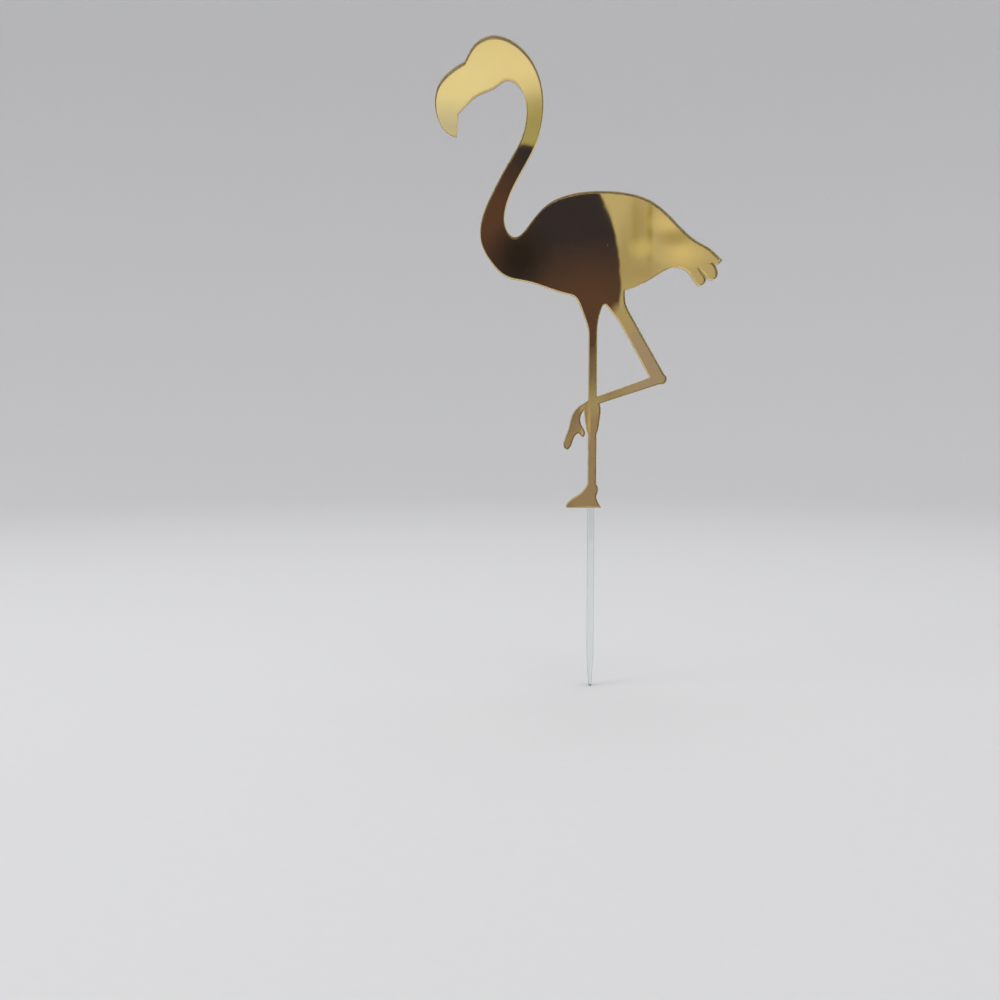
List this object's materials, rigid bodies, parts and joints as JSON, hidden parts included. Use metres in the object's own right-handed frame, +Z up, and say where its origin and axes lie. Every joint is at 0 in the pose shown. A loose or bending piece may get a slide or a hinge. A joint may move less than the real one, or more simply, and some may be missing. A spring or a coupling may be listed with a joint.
{
  "type": "cake topper",
  "caption": "Flat gold mirror-acrylic flamingo silhouette with a folded leg, taped to a clear pointed stake that pushes into the top of a cake.",
  "frame": {"origin": "on the stake's axis, level with the sole of the standing foot, which is the height of the cake's top when the stake is pushed home", "axes": "+Z up along the stake, -Y towards the viewer (the mirror face), -X towards the bill, +X towards the tail"},
  "size_m": [0.0923, 0.0064, 0.21],
  "materials": {
    "gold_acrylic": "clear gold-tinted acrylic, polished faces, laser-cut edges",
    "mirror_coat": "bright vacuum-coated reflective layer",
    "grey_lacquer": "satin grey protective lacquer",
    "clear_tape": "translucent double-sided strip",
    "clear_acrylic": "clear acrylic, polished faces, laser-cut edges"
  },
  "bodies": {
    "root": {"acrylic_panel": "gold_acrylic", "mirror_coating": "mirror_coat", "backing_lacquer": "grey_lacquer", "stake_tape": "clear_tape", "stake": "clear_acrylic"}
  },
  "joints": []
}
